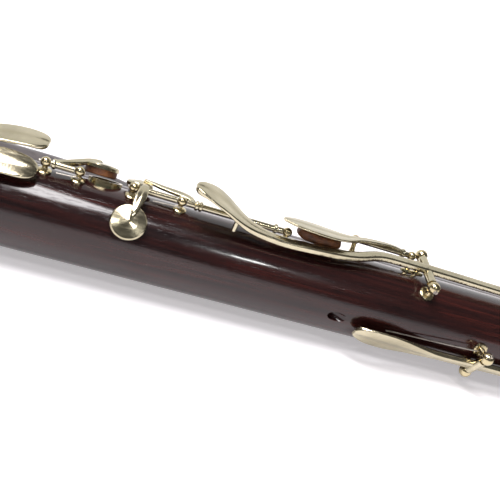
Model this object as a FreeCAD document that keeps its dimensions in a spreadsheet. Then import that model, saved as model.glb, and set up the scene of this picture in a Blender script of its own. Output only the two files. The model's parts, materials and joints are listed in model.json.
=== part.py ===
"""A simple-system bassoon lying on a table: rosewood joints, nickel-silver keys on ball posts.

Millimetres. The long joint's axis runs along X, from the boot's foot towards the bell, and Z is up.
The instrument lies on the wing side of its boot and on the rim of its bell.
"""
import FreeCAD, Part
import Sketcher
import math
import os

Vector = FreeCAD.Vector

doc = FreeCAD.newDocument("bassoon")

# ---------------------------------------------------------------- driving dimensions
SIZES = {
    # joints, along X
    "boot_length": 440.0,
    "long_length": 540.0,
    "wing_length": 530.0,
    "bell_length": 300.0,
    # joints, across
    "joint_gap": 2.0,
    "boot_long_radius": 22.5,
    "boot_wing_radius": 16.5,
    "boot_metal_wall": 1.5,
    "long_radius": 19.0,
    "wing_radius": 15.0,
    "bell_rim_radius": 24.0,
    "bell_waist_radius": 20.0,
    # bores and tenons
    "long_bore_foot": 11.0,
    "long_bore_head": 13.0,
    "bell_bore_mouth": 17.5,
    "wing_bore_foot": 5.2,
    "wing_bore_head": 3.2,
    "boot_bore_small": 8.5,
    "boot_bore_large": 10.5,
    "lap_thickness": 0.9,
    "long_tenon_radius": 14.6,
    "long_tenon_length": 42.0,
    "bell_tenon_radius": 15.4,
    "bell_tenon_length": 34.0,
    "wing_tenon_radius": 10.8,
    "wing_tenon_length": 36.0,
    "seat_gap": 0.05,
    # metal fittings
    "cap_length": 58.0,
    "cap_end_wall": 2.0,
    "cork_plate": 2.0,
    "bow_tube_wall": 1.2,
    "bow_flange": 1.6,
    "ring_width": 12.0,
    "ring_wall": 1.5,
    "rim_ring_width": 9.0,
    # crook and reed
    "crook_root_radius": 4.4,
    "crook_tip_radius": 2.2,
    "crook_wall": 0.8,
    "crook_reach": 62.0,
    "crook_bend": 58.0,
    "crook_arm": 120.0,
    "crook_tip_run": 34.0,
    "crook_cork_length": 26.0,
    "reed_length": 55.0,
    "reed_width": 14.5,
    "reed_on_crook": 9.0,
    # ball posts, rods and barrels of the row along the joint
    "row_height": 4.5,
    "row_ball": 4.4,
    "row_rod": 1.4,
    "row_barrel": 2.8,
    "row_ring": 4.5,
    "foot_disc": 6.0,
    # ball posts of the levers
    "lever_ball": 6.0,
    "lever_rod": 2.0,
    "lever_barrel": 4.4,
    "lever_foot_disc": 6.8,
    "plate_pads_step": 9.2,
    "running_gap": 0.05,
    "end_gap": 0.15,
    # levers, cups and pads
    "bar_width": 4.8,
    "bar_thickness": 3.2,
    "spoon_thickness": 1.6,
    "spoon_width": 13.4,
    "cup_radius": 7.6,
    "small_cup_radius": 6.0,
    "cup_wall": 0.9,
    "cup_rim": 1.3,
    "pad_thickness": 2.6,
    "pad_lift": 0.35,
    "open_lift": 2.6,
    "open_pad_thickness": 4.2,
    "chimney_radius": 7.4,
    "chimney_height": 1.5,
    "chimney_wall": 1.2,
    "flat_plate_length": 37.0,
    "flat_plate_width": 12.5,
    "flat_pad_thickness": 5.2,
    "flat_pad_width": 10.4,
    "peg_radius": 1.1,
    "needle_radius": 0.35,
    "tone_hole_radius": 4.4,
}

sheet = doc.addObject("Spreadsheet::Sheet", "Sizes")
for row, (alias, value) in enumerate(SIZES.items(), start=1):
    sheet.set("A%d" % row, alias)
    sheet.set("B%d" % row, str(value))
    sheet.setAlias("B%d" % row, alias)
doc.recompute()


def size(alias):
    """The value of one named size."""
    return float(sheet.get(alias))


boot = size("boot_length")
long_r = size("long_radius")
wing_r = size("wing_radius")
metal = size("boot_metal_wall")

# It lies on the bell's rim and on the wing side of the boot, so these two set how far it leans.
axis_height = max(size("bell_rim_radius"), size("boot_long_radius") + metal)
wing_height = size("boot_wing_radius") + metal
bore_spacing = long_r + wing_r + size("joint_gap")
wing_across = math.sqrt(bore_spacing ** 2 - (axis_height - wing_height) ** 2)
long_end = boot + size("long_length")
wing_end = boot + size("wing_length")
bell_end = long_end + size("bell_length")

pieces = []


def keep(piece, label):
    """Names a finished sub-part."""
    piece.Label = label
    pieces.append(piece)
    return piece


def carve(label, shape, placement=None):
    """A sub-part whose shape comes from Part's own functions."""
    piece = doc.addObject("Part::Feature", label)
    piece.Shape = shape
    if placement is not None:
        piece.Placement = placement.multiply(shape.Placement)
    return keep(piece, label)


# ---------------------------------------------------------------- turned pieces
def plane_of(body, role):
    for feature in body.Origin.OriginFeatures:
        if feature.Role == role:
            return feature
    raise ValueError(role)


def turned(label, profile, across=0.0, height=None):
    """A body turned about its own X axis; each profile corner is a pair of expressions (along, radius)."""
    body = doc.addObject("PartDesign::Body", label + "_body")
    sketch = body.newObject("Sketcher::SketchObject", label + "_profile")
    sketch.AttachmentSupport = [(plane_of(body, "XY_Plane"), "")]
    sketch.MapMode = "FlatFace"
    corners = []
    for along, radius in profile:
        corners.append(Vector(evaluate(along), evaluate(radius), 0))
    count = len(corners)
    for k in range(count):
        sketch.addGeometry(Part.LineSegment(corners[k], corners[(k + 1) % count]), False)
    for k in range(count):
        sketch.addConstraint(Sketcher.Constraint("Coincident", k, 2, (k + 1) % count, 1))
    for k, (along, radius) in enumerate(profile):
        # A distance has no sign in a sketch, so every corner stands on the positive side.
        across_x = sketch.addConstraint(Sketcher.Constraint("DistanceX", -1, 1, k, 1, corners[k].x))
        sketch.setExpression("Constraints[%d]" % across_x, along)
        across_y = sketch.addConstraint(Sketcher.Constraint("DistanceY", -1, 1, k, 1, corners[k].y))
        sketch.setExpression("Constraints[%d]" % across_y, radius)
    turn = body.newObject("PartDesign::Revolution", label + "_turning")
    turn.Profile = sketch
    turn.ReferenceAxis = (plane_of(body, "X_Axis"), [""])
    turn.Angle = 360.0
    stands = axis_height if height is None else height
    body.Placement = FreeCAD.Placement(Vector(0, across, stands), FreeCAD.Rotation())
    doc.recompute()
    return body


def evaluate(expression):
    """The number given by an expression of terms such as Sizes.a + Sizes.b - 2.5."""
    total = 0.0
    sign = 1.0
    for word in expression.split():
        if word in "+-":
            sign = -1.0 if word == "-" else 1.0
        else:
            value = size(word[6:]) if word.startswith("Sizes.") else float(word)
            total += sign * value
            sign = 1.0
    return total


def bored(label, solid, tools):
    """The solid with holes cut through it, kept as one sub-part."""
    cutters = doc.addObject("Part::Feature", label + "_cutters")
    cutters.Shape = Part.makeCompound(tools)
    cut = doc.addObject("Part::Cut", label)
    cut.Base = solid
    cut.Tool = cutters
    doc.recompute()
    return keep(cut, label)


BOOT = "Sizes.boot_length"
LONG_END = BOOT + " + Sizes.long_length"
WING_END = BOOT + " + Sizes.wing_length"
BELL_END = LONG_END + " + Sizes.bell_length"


# ---------------------------------------------------------------- places on a tube
class Tube:
    """A round tube along X, on which stations are counted from its start and angles from the front."""

    def __init__(self, start, across, height, radius):
        self.start = start
        self.across = across
        self.height = height
        self.radius = radius

    def at(self, angle):
        """The frame whose Z points out of the tube at this angle, 0 facing -Y and 90 straight up."""
        turn = FreeCAD.Rotation(Vector(1, 0, 0), 90.0 - angle)
        return FreeCAD.Placement(Vector(self.start, self.across, self.height), turn)


long_tube = Tube(boot, 0.0, axis_height, long_r)
wing_tube = Tube(boot, wing_across, wing_height, wing_r)
boot_tube = Tube(0.0, 0.0, axis_height, size("boot_long_radius"))


def polar(station, offset, radius):
    """A point in a frame on a tube, offset degrees round from the frame's own angle."""
    lean = math.radians(offset)
    return Vector(station, radius * math.sin(lean), radius * math.cos(lean))


def cylinder(start, end, radius):
    run = end - start
    return Part.makeCylinder(radius, run.Length, start, run)


def turned_round(start, end, profile):
    """A solid of revolution on the line from start to end; the profile is pairs (along, radius)."""
    run = end - start
    corners = [Vector(radius, 0, along) for along, radius in profile]
    corners = [Vector(0, 0, profile[0][0])] + corners + [Vector(0, 0, profile[-1][0])]
    face = Part.Face(Part.makePolygon(corners + [corners[0]]))
    solid = face.revolve(Vector(0, 0, 0), Vector(0, 0, 1), 360)
    solid.Placement = FreeCAD.Placement(start, FreeCAD.Rotation(Vector(0, 0, 1), run))
    return solid


def ball_post(foot, ball_at, ball, disc, rod_hole, rod_run):
    """A turned post: a stepped disc on the wood, a waisted neck and a ball drilled for the rod."""
    run = ball_at - foot
    tall = run.Length
    neck = turned_round(foot, ball_at, [
        (-1.2, disc * 0.5),
        (0.7, disc * 0.5),
        (1.0, disc * 0.42),
        (1.3, disc * 0.25),
        (tall * 0.5, disc * 0.19),
        (tall, ball * 0.28),
    ])
    along_rod = rod_run.normalize()
    post = neck.fuse(Part.makeSphere(ball / 2.0, ball_at, along_rod))
    half = along_rod * (ball * 0.75)
    return post.cut(cylinder(ball_at - half, ball_at + half, rod_hole))


# ---------------------------------------------------------------- key metal
def section(centre, along, side, width, thickness, squareness=4.4):
    """A closed smooth ring of rounded oblong form, across the direction along."""
    side = (side - along * side.dot(along)).normalize()
    out = along.cross(side).normalize()
    if out.z < 0:
        out = -out
    points = []
    for k in range(16):
        turn = 2.0 * math.pi * k / 16 + math.pi / 2.0
        c = math.cos(turn)
        s = math.sin(turn)
        across = math.copysign(abs(c) ** (2.0 / squareness), c) * width / 2.0
        above = math.copysign(abs(s) ** (2.0 / squareness), s) * thickness / 2.0
        points.append(centre + side * across + out * above)
    curve = Part.BSplineCurve()
    curve.interpolate(points, PeriodicFlag=True)
    return Part.Wire([curve.toShape()])


def bar(path, side):
    """A forged bar through points with their widths and thicknesses."""
    rings = []
    last = len(path) - 1
    for k, (centre, width, thickness) in enumerate(path):
        before = path[max(k - 1, 0)][0]
        after = path[min(k + 1, last)][0]
        rings.append(section(centre, (after - before).normalize(), side, width, thickness))
    return Part.makeLoft(rings, True, False)


def barrel(start, end, outer, bore):
    return cylinder(start, end, outer).cut(cylinder(start, end, bore))


def bead(centre, run, radius, width, bore):
    """A turned ring round a barrel."""
    half = run.normalize() * (width / 2.0)
    ring = turned_round(centre - half, centre + half, [
        (0.0, radius * 0.78),
        (width * 0.2, radius * 0.96),
        (width * 0.5, radius),
        (width * 0.8, radius * 0.96),
        (width, radius * 0.78),
    ])
    return ring.cut(cylinder(centre - half * 1.1, centre + half * 1.1, bore))


def cup(seat, out, radius, crown):
    """The outside of a key cup on its seat: a short rim and a low cone above."""
    wall = size("cup_wall")
    rim = size("cup_rim")
    return turned_round(seat, seat + out, [
        (0.0, radius),
        (rim, radius),
        (rim + wall * 0.7, radius - 0.5),
        (rim + wall + crown * 0.45, radius * 0.5),
        (rim + wall + crown, 0.6),
    ])


def cup_hollow(seat, out, radius):
    """The room for the pad, cut last so that no arm reaches into it."""
    inner = radius - size("cup_wall") * 0.6
    return turned_round(seat, seat + out, [(-0.1, inner), (size("cup_rim"), inner)])


def pad(seat, out, radius, thick):
    """The leather pad that fills a cup and stands below its rim."""
    wall = size("cup_wall")
    rim = size("cup_rim")
    fill = radius - wall * 0.6 - 0.02
    return turned_round(seat, seat + out, [
        (rim - thick, fill - 0.9),
        (rim - thick + 0.35, fill - 0.25),
        (rim - thick + 0.8, fill),
        (rim - 0.02, fill),
    ])


def seat_radius(tube, lift, thick):
    """How far out a cup's rim stands so that its pad clears the tube's crown by the lift."""
    return tube.radius + lift + thick - size("cup_rim")


def joined(shapes):
    first = shapes[0]
    for other in shapes[1:]:
        first = first.fuse(other)
    return first


posts = {"long_joint": [], "boot_joint": [], "wing_joint": []}
rods = {"long_joint": [], "boot_joint": [], "wing_joint": []}
holes = {"long_joint": [], "boot_joint": [], "wing_joint": []}
needles = []
hinges = []


def placed(frame, shape):
    copy = shape.copy()
    copy.Placement = frame.multiply(copy.Placement)
    return copy


def tell_hinge(name, frame, point, direction, low, high):
    """Remembers a key's hinge line for the printed table."""
    where = frame.multVec(point)
    run = frame.Rotation.multVec(direction)
    hinges.append((name, where, run, low, high))


def row_posts(joint, tube, frame, radius, stations):
    """Ball posts for a rod along the joint, and the rod that runs through them."""
    ball = size("row_ball")
    rod = size("row_rod") / 2.0
    for station in stations:
        foot = Vector(station, 0, tube.radius)
        ball_at = Vector(station, 0, radius)
        post = ball_post(foot, ball_at, ball, size("foot_disc"), rod + 0.02, Vector(1, 0, 0))
        posts[joint].append(placed(frame, post.cut(tube_solid(tube))))
    start = Vector(stations[0] - ball * 0.62, 0, radius)
    end = Vector(stations[-1] + ball * 0.5, 0, radius)
    screw = cylinder(start, end, rod)
    rods[joint].append(placed(frame, screw))


def tube_solid(tube):
    """The tube's own outside in a frame on it, to trim what stands on it."""
    return Part.makeCylinder(tube.radius, 1600.0, Vector(-500, 0, 0), Vector(1, 0, 0))


def bore_hole(joint, tube, frame, station, offset, radius):
    """A tone hole under a pad, straight in from the tube's surface."""
    lean = math.radians(offset)
    out = Vector(0, math.sin(lean), math.cos(lean))
    start = Vector(station, 0, 0) + out * (tube.radius * 0.3)
    hole = Part.makeCylinder(radius, tube.radius, start, out)
    holes[joint].append(placed(frame, hole))


# ---------------------------------------------------------------- spoon levers
def spoon_lever(name, joint, tube, angle, line, hinge, near, far, tail, peg=None, way=1, press=2.2):
    """A long lever: a spoon for the thumb, a bar over two ball posts, and a cup at the far end.

    line lists (station, across, height of the top face over the wood, width) along the spoon and bar.
    way is 1 when the spoon lies nearer the tube's start than the cup, else -1. press is the travel in degrees.
    """
    frame = tube.at(angle)
    thick = size("bar_thickness")
    thin = size("spoon_thickness")
    hinge_at, hinge_over = hinge
    hinge_height = tube.radius + hinge_over
    path = []
    widest = max(width for station, across, top, width in line)
    for station, across, top, width in line:
        plain = (width - size("bar_width")) / (widest - size("bar_width"))
        plain = min(max(plain, 0.0), 1.0)
        slim = thick + (thin - thick) * plain
        if (station, across, top, width) == line[0]:
            slim = thin * 0.6
        path.append((Vector(station, across, tube.radius + top - slim / 2.0), width, slim))
    tail_at, tail_across = tail
    end_across = line[-1][1]
    end_top = tube.radius + line[-1][2]
    lean = math.asin(max(-0.9, min(0.9, tail_across / (tube.radius + 4.0))))
    out = Vector(0, math.sin(lean), math.cos(lean))
    cup_r = size("cup_radius")
    base = seat_radius(tube, size("pad_lift"), size("pad_thickness"))
    seat = Vector(tail_at, 0, 0) + out * base
    crown = 1.4
    top_of_cup = seat + out * (size("cup_rim") + size("cup_wall") + crown * 0.6)
    run_up = Vector(tail_at - way * cup_r * 1.7, (end_across + top_of_cup.y) / 2.0, end_top - thick * 0.5)
    # Points along a long straight run keep the smooth bar from sagging between its ends.
    last_point = path[-1][0]
    steps = int(abs(run_up.x - last_point.x) / 18.0)
    for k in range(1, steps):
        path.append((last_point + (run_up - last_point) * (k / steps), size("bar_width"), thick))
    path.append((run_up, size("bar_width"), thick))
    path.append((top_of_cup - Vector(way * cup_r * 0.5, 0, -0.4), size("bar_width") * 0.85, thick * 0.75))
    path.append((top_of_cup + Vector(way * cup_r * 0.25, 0, -0.1), size("bar_width") * 0.45, thick * 0.5))
    blade = bar(path, Vector(0, 1, 0))
    ball = size("lever_ball")
    gap = size("end_gap")
    low = Vector(hinge_at, min(near, far) + ball / 2.0 - 0.2 + gap, hinge_height)
    high = Vector(hinge_at, max(near, far) - ball / 2.0 + 0.2 - gap, hinge_height)
    tube_r = size("lever_barrel") / 2.0
    pin = size("lever_rod") / 2.0
    metal_parts = [blade, cylinder(low, high, tube_r), cup(seat, out, cup_r, crown)]
    if peg is not None:
        peg_at, peg_across = peg[:2]
        peg_foot = tube.radius + peg[2]
        peg_head = tube.radius + peg[3]
        peg_r = size("peg_radius")
        peg_end = Vector(peg_at, peg_across, peg_foot)
        metal_parts.append(cylinder(peg_end, Vector(peg_at, peg_across, peg_head), peg_r))
        metal_parts.append(Part.makeSphere(peg_r, peg_end))
    pin_bore = cylinder(low - Vector(0, 1, 0), high + Vector(0, 1, 0), pin + size("running_gap"))
    shape = joined(metal_parts).cut(pin_bore).cut(cup_hollow(seat, out, cup_r))
    carve(name, shape, frame)
    carve(name + "_pad", pad(seat, out, cup_r, size("pad_thickness")), frame)
    for across in (near, far):
        ball_at = Vector(hinge_at, across, hinge_height)
        radial = Vector(0, across, hinge_height).normalize()
        foot = Vector(hinge_at, 0, 0) + radial * tube.radius
        post = ball_post(foot, ball_at, ball, size("lever_foot_disc"), pin + 0.02, Vector(0, 1, 0))
        posts[joint].append(placed(frame, post.cut(tube_solid(tube))))
    first, last = sorted((near, far))
    screw_start = Vector(hinge_at, first - ball / 2.0 - 0.3, hinge_height)
    screw_end = Vector(hinge_at, last + ball / 2.0 + 0.3, hinge_height)
    screw = cylinder(screw_start, screw_end, pin)
    slot_corner = Vector(hinge_at - 0.3, screw_start.y - 0.2, hinge_height - 2.0)
    screw = screw.cut(Part.makeBox(0.6, 0.7, 4.0, slot_corner))
    slot_corner = Vector(hinge_at - 0.3, screw_end.y - 0.5, hinge_height - 2.0)
    screw = screw.cut(Part.makeBox(0.6, 0.7, 4.0, slot_corner))
    rods[joint].append(placed(frame, screw))
    bore_hole(joint, tube, frame, tail_at, math.degrees(lean), size("tone_hole_radius"))
    tell_hinge(name, frame, Vector(hinge_at, 0, hinge_height), Vector(0, -way, 0), 0.0, press)
    return frame


bar_w = size("bar_width")
spoon_w = size("spoon_width")

# The thumb's main lever: its spoon stands high over the rod row and its bar crosses to the hinge.
spoon_lever(
    "thumb_lever", "long_joint", long_tube, 74.0,
    [
        (186.0, -2.0, 17.4, spoon_w * 0.22),
        (187.6, -2.0, 17.9, spoon_w * 0.55),
        (191.5, -2.0, 17.1, spoon_w * 0.84),
        (196.0, -2.0, 15.6, spoon_w),
        (201.0, -2.3, 13.4, spoon_w * 0.95),
        (207.0, -3.0, 10.2, spoon_w * 0.76),
        (214.0, -4.3, 7.6, spoon_w * 0.54),
        (222.0, -5.6, 6.6, bar_w * 1.05),
        (231.0, -5.8, 6.1, bar_w),
        (240.0, -5.6, 6.4, bar_w),
        (250.0, -4.8, 6.6, bar_w),
        (260.0, -3.4, 6.7, bar_w),
        (269.0, -0.6, 6.8, bar_w),
        (277.0, 2.2, 7.4, bar_w),
        (286.0, 3.3, 7.4, bar_w),
        (320.0, 3.3, 7.4, bar_w),
        (370.0, 3.3, 7.4, bar_w),
    ],
    hinge=(303.6, 4.8), near=-8.7, far=15.0, tail=(404.0, 3.3), peg=(207.0, -6.0, 3.4, 8.6),
    press=1.3,
)

# The lower lever, on the front of the joint, with its spoon close beside the open thumb hole.
spoon_lever(
    "front_lever", "long_joint", long_tube, -36.0,
    [
        (273.0, 6.2, 3.5, spoon_w * 0.25),
        (275.0, 6.2, 3.8, spoon_w * 0.6),
        (279.0, 6.3, 4.2, spoon_w * 0.88),
        (285.0, 6.4, 4.5, spoon_w),
        (292.0, 6.2, 4.6, spoon_w * 0.96),
        (300.0, 5.7, 4.5, spoon_w * 0.74),
        (308.0, 5.0, 4.5, spoon_w * 0.52),
        (316.0, 4.6, 4.5, bar_w),
        (330.0, 4.6, 4.5, bar_w),
        (350.0, 4.6, 4.5, bar_w),
        (385.0, 4.6, 4.5, bar_w),
    ],
    hinge=(337.4, 3.5), near=14.3, far=-2.4, tail=(412.0, 4.6), press=1.2,
)

# Two broad thumb plates that reach in from levers hinged nearer the boot.
lower_tail = 20.0
upper_tail = lower_tail + 2.0 * size("cup_radius") - size("plate_pads_step")
spoon_lever(
    "upper_plate_lever", "long_joint", long_tube, 75.0,
    [
        (124.2, 8.0, 10.4, spoon_w * 0.35),
        (122.6, 8.0, 10.8, spoon_w * 0.72),
        (118.2, 7.8, 10.8, spoon_w * 0.98),
        (111.4, 7.4, 10.5, spoon_w * 1.06),
        (103.6, 6.6, 9.7, spoon_w * 0.98),
        (96.0, 5.2, 8.6, spoon_w * 0.72),
        (88.0, 3.8, 7.5, bar_w * 1.1),
        (78.0, 3.4, 6.8, bar_w),
        (60.0, 3.4, 6.6, bar_w),
    ],
    hinge=(70.0, 4.4), near=-6.6, far=13.0, tail=(upper_tail, 3.4), way=-1,
)
spoon_lever(
    "lower_plate_lever", "long_joint", long_tube, 55.0,
    [
        (123.4, 2.6, 4.4, spoon_w * 0.34),
        (121.4, 2.6, 5.2, spoon_w * 0.66),
        (116.0, 2.4, 6.0, spoon_w * 0.9),
        (108.0, 2.2, 6.3, spoon_w * 0.94),
        (100.0, 1.0, 6.4, spoon_w * 0.8),
        (92.0, -1.5, 6.4, spoon_w * 0.55),
        (84.0, -3.5, 6.2, bar_w),
        (70.0, -4.5, 6.0, bar_w),
        (52.0, -4.5, 6.0, bar_w),
    ],
    hinge=(60.0, 3.9), near=-13.0, far=4.6, tail=(lower_tail, -4.5), way=-1,
)


# ---------------------------------------------------------------- keys on the rod row
row_angle = 80.0
row = long_tube.at(row_angle)
row_r = long_r + size("row_height")
half_ball = size("row_ball") / 2.0
gap = size("end_gap")
barrel_r = size("row_barrel") / 2.0
rod_clear = size("row_rod") / 2.0 + size("running_gap")
ring_r = size("row_ring") / 2.0
row_run = Vector(1, 0, 0)


def row_barrel(start_post, end_post, height, rings, ring_width=1.6):
    """A barrel between two posts of a row, with its turned rings."""
    start = Vector(start_post + half_ball + gap - 0.1, 0, height)
    end = Vector(end_post - half_ball - gap + 0.1, 0, height)
    parts = [barrel(start, end, barrel_r, rod_clear)]
    for station in rings:
        parts.append(bead(Vector(station, 0, height), row_run, ring_r, ring_width, rod_clear))
    return parts


def flat_cup_key(name, frame, parts, arm_points, arm_side, cup_at, cup_offset, radius, lift, crown, thick):
    """A row key: its barrel parts, one arm and a cup set square to the tube at its own angle."""
    lean = math.radians(cup_offset)
    out = Vector(0, math.sin(lean), math.cos(lean))
    seat = Vector(cup_at, 0, 0) + out * seat_radius(long_tube, lift, thick)
    cup_top = seat_radius(long_tube, lift, thick) + size("cup_rim") + size("cup_wall") + crown
    last = len(arm_points) - 1
    arm_path = []
    for k, (station, offset, above, width, thickness) in enumerate(arm_points):
        # Each height is over the straight line from the barrel's top to the cup's top.
        share = k / last
        radius_here = (row_r + barrel_r) * (1.0 - share) + cup_top * share + above
        arm_path.append((polar(station, offset, radius_here), width, thickness))
    parts = parts + [bar(arm_path, arm_side), cup(seat, out, radius, crown)]
    shape = joined(parts).cut(cup_hollow(seat, out, radius))
    shape = shape.cut(cylinder(Vector(100.0, 0, row_r), Vector(320.0, 0, row_r), rod_clear))
    carve(name, shape, frame)
    carve(name + "_pad", pad(seat, out, radius, thick), frame)
    bore_hole("long_joint", long_tube, frame, cup_at, cup_offset, size("tone_hole_radius"))


# The open key at the head of the row: its arm goes over to a cup that stands off a metal chimney.
row_posts("long_joint", long_tube, row, row_r, [125.0, 139.0])
open_cup_r = size("cup_radius")
open_lift = size("open_lift")
flat_cup_key(
    "open_key", row,
    row_barrel(125.0, 139.0, row_r, [128.4]),
    [
        (128.6, 1.0, -0.9, 2.6, 2.2),
        (132.0, 4.5, -1.12, 2.8, 2.4),
        (137.0, 13.0, -0.95, 3.2, 2.2),
        (141.5, 22.0, -0.38, 3.4, 1.8),
        (146.0, 26.0, -0.2, 2.2, 1.4),
    ],
    Vector(0, 1, 0), 146.6, 28.0, open_cup_r, open_lift, 0.7, size("open_pad_thickness"),
)
chimney_lean = math.radians(24.0)
chimney_out = Vector(0, math.sin(chimney_lean), math.cos(chimney_lean))
chimney_foot = Vector(149.6, 0, 0) + chimney_out * (long_r - 3.0)
chimney_top = Vector(149.6, 0, 0) + chimney_out * (long_r + size("chimney_height"))
chimney = cylinder(chimney_foot, chimney_top, size("chimney_radius"))
chimney = chimney.cut(tube_solid(long_tube))
chimney_bore = size("chimney_radius") - size("chimney_wall")
chimney = chimney.cut(cylinder(chimney_foot - chimney_out, chimney_top + chimney_out, chimney_bore))
carve("tone_hole_chimney", chimney, row)

# The round side key: a leaf-shaped arm comes down over the front to a flat conical cup.
row_posts("long_joint", long_tube, row, row_r, [162.0, 183.0])
flat_cup_key(
    "round_side_key", row,
    row_barrel(162.0, 183.0, row_r, []),
    [
        (166.4, 4.0, 0.1, 1.6, 1.4),
        (166.3, -3.0, 0.73, 3.4, 1.7),
        (165.8, -14.0, 0.86, 4.6, 1.7),
        (164.9, -26.0, 0.59, 3.9, 1.5),
        (164.2, -36.0, 0.42, 2.2, 1.2),
        (163.8, -43.0, 0.15, 0.9, 0.9),
    ],
    Vector(1, 0, 0), 163.5, -44.6, open_cup_r, size("pad_lift"), 0.9, size("pad_thickness"),
)

# The long rod key: its barrel runs from post to post and a wedge arm goes back to a cup behind the row.
row_posts("long_joint", long_tube, row, row_r, [232.0])
small_cup_r = size("small_cup_radius")
flat_cup_key(
    "long_rod_key", row,
    row_barrel(183.0, 232.0, row_r, [189.6, 191.4, 226.2]),
    [
        (188.0, 2.0, -0.9, 2.0, 1.8),
        (184.0, 11.0, -0.59, 3.8, 1.8),
        (177.0, 15.0, -0.38, 3.4, 1.6),
        (170.5, 18.0, 0.04, 2.4, 1.4),
        (165.5, 21.0, 0.45, 1.6, 1.2),
    ],
    Vector(0, 1, 0), 164.2, 22.0, small_cup_r, size("pad_lift") + 1.2, 0.8, size("pad_thickness"),
)

# The flat touch key: a flat plate over a thick stuffed pad, hinged on a short barrel behind.
flat_angle = 102.0
flat_frame = long_tube.at(flat_angle)
flat_r = long_r + size("row_height") + 3.2
flat_start = 228.0
flat_length = size("flat_plate_length")
flat_width = size("flat_plate_width")
row_posts("long_joint", long_tube, flat_frame, flat_r, [267.5, 297.6])
plate_path = [
    (polar(flat_start, -24.0, flat_r + 3.3), flat_width * 0.24, 1.0),
    (polar(flat_start + 2.5, -23.6, flat_r + 3.2), flat_width * 0.56, 1.2),
    (polar(flat_start + 8.0, -23.0, flat_r + 2.9), flat_width * 0.9, 1.3),
    (polar(flat_start + 15.0, -22.6, flat_r + 2.6), flat_width, 1.3),
    (polar(flat_start + 24.0, -22.0, flat_r + 2.2), flat_width * 0.94, 1.3),
    (polar(flat_start + 31.0, -20.0, flat_r + 1.9), flat_width * 0.66, 1.5),
    (polar(flat_start + flat_length, -15.0, flat_r + 1.6), 4.6, 1.8),
    (polar(flat_start + 44.0, -9.0, flat_r + 1.5), 4.0, 2.0),
    (polar(flat_start + 52.0, -4.0, flat_r + 1.6), 3.6, 2.0),
    (polar(flat_start + 60.0, -1.0, flat_r + 1.5), 2.8, 1.8),
    (polar(flat_start + 64.0, 0.0, flat_r + 0.9), 2.0, 1.6),
]
flat_metal = row_barrel(267.5, 297.6, flat_r, [292.6], 2.0) + [bar(plate_path, Vector(0, 1, 0.22))]
flat_shape = joined(flat_metal)
flat_shape = flat_shape.cut(cylinder(Vector(260.0, 0, flat_r), Vector(310.0, 0, flat_r), rod_clear))
carve("flat_touch_key", flat_shape, flat_frame)
stuffed = size("flat_pad_thickness")
pad_path = []
pad_shares = [0.4, 0.8, 0.94, 0.94, 0.84, 0.5]
for k, share in enumerate(pad_shares):
    along = flat_start + 8.6 + k * 4.2
    crown = stuffed * (0.6 if k in (0, len(pad_shares) - 1) else 1.0)
    top = flat_r + 1.6 - 0.05 * (along - flat_start)
    pad_path.append((polar(along, -19.6, top - crown / 2.0), size("flat_pad_width") * share, crown))
pad_solid = bar(pad_path, Vector(0, 1, 0.22)).cut(flat_shape)
carve("flat_touch_key_pad", pad_solid, flat_frame)
bore_hole("long_joint", long_tube, flat_frame, flat_start + 17.0, -12.0, size("tone_hole_radius"))
tell_hinge("open_key", row, Vector(132.0, 0, row_r), Vector(-1, 0, 0), 0.0, 2.2)
tell_hinge("round_side_key", row, Vector(172.0, 0, row_r), Vector(-1, 0, 0), 0.0, 8.0)
tell_hinge("long_rod_key", row, Vector(207.0, 0, row_r), Vector(1, 0, 0), 0.0, 8.0)
tell_hinge("flat_touch_key", flat_frame, Vector(282.0, 0, flat_r), Vector(1, 0, 0), 0.0, 8.0)

# The open thumb hole, bored on a slant along the joint.
thumb = long_tube.at(-13.0)
slant = Vector(1.0, 0, 0.62)
slant.normalize()
thumb_hole = Part.makeCylinder(2.5, 40.0, Vector(264.0, 0, long_r) - slant * 14.0, slant)
holes["long_joint"].append(placed(thumb, thumb_hole))

# Needle springs leave the posts and bear on hooks of the row keys.
needle_r = size("needle_radius")
for start, end in ((139.0, 130.0), (183.0, 171.0), (232.0, 215.0)):
    root = Vector(start, -1.0, long_r + 1.9)
    tip = Vector(end, -1.6, row_r - 2.9)
    needles.append(placed(row, cylinder(root, tip, needle_r)))
    drilled = placed(row, cylinder(root + row_run, tip, needle_r + size("seat_gap")))
    posts["long_joint"] = [post.cut(drilled) for post in posts["long_joint"]]

# A needle spring lies along the front of the joint below the lower lever.
spring_frame = long_tube.at(-36.0)
spring_root = polar(334.6, 33.0, long_r + 3.0)
spring_tip = polar(288.0, 25.0, long_r + 1.2)
needles.append(placed(spring_frame, cylinder(spring_root, spring_tip, needle_r)))


# ---------------------------------------------------------------- keys of the boot and the wing
def plain_lever(name, joint, tube, angle, tip, hinge_at, tail, way=1):
    """A short spoon lever in line with its tube."""
    top = 6.2
    high = 9.6
    line = [
        (tip, 0.0, high, spoon_w * 0.4),
        (tip + way * 3.0, 0.0, high + 0.6, spoon_w * 0.85),
        (tip + way * 9.0, 0.0, high + 0.4, spoon_w),
        (tip + way * 16.0, 0.0, high - 1.0, spoon_w * 0.8),
        (tip + way * 24.0, 0.0, top + 0.6, bar_w * 1.2),
        (tip + way * 34.0, 0.0, top, bar_w),
    ]
    post = tube.radius * 0.45
    spoon_lever(name, joint, tube, angle, line, (hinge_at, 3.9), -post, post, (tail, 0.0), way=way)


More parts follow.
